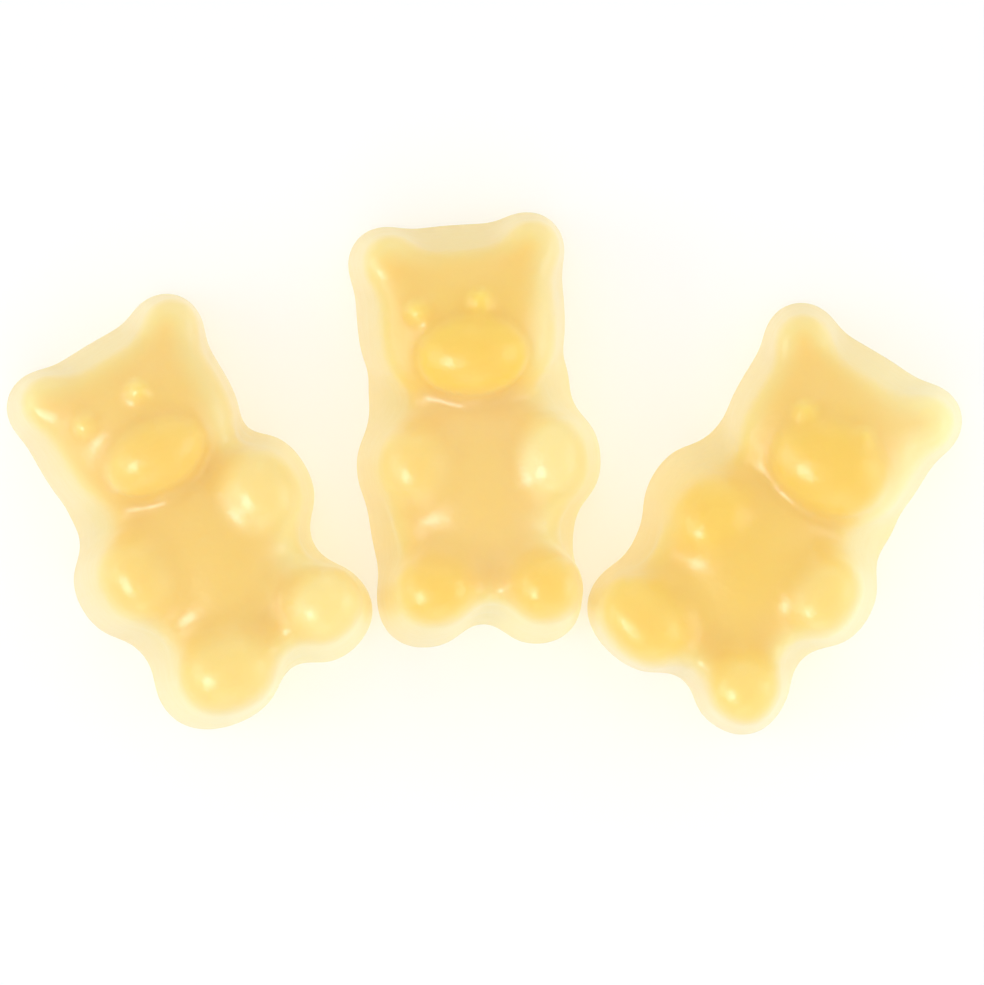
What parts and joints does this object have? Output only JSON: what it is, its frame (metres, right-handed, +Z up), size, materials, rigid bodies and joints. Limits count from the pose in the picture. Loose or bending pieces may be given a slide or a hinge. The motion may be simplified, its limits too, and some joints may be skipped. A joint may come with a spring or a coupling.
{
  "type": "gummy bears",
  "caption": "Small group of pale yellow gelatine gummy bears lying on their flat backs, feet together.",
  "frame": {"origin": "on the surface that the bears lie on, under the middle of the group's bounding box", "axes": "+X along the row of bears, +Y from the feet to the ears of the middle bear, +Z up, out of the bears' fronts"},
  "size_m": [0.0476, 0.026, 0.009],
  "materials": {
    "jelly": "translucent pale yellow gelatine jelly with a softly shining waxed skin"
  },
  "bodies": {
    "root": {"bear_left": "jelly", "bear_middle": "jelly", "bear_right": "jelly"}
  },
  "joints": []
}
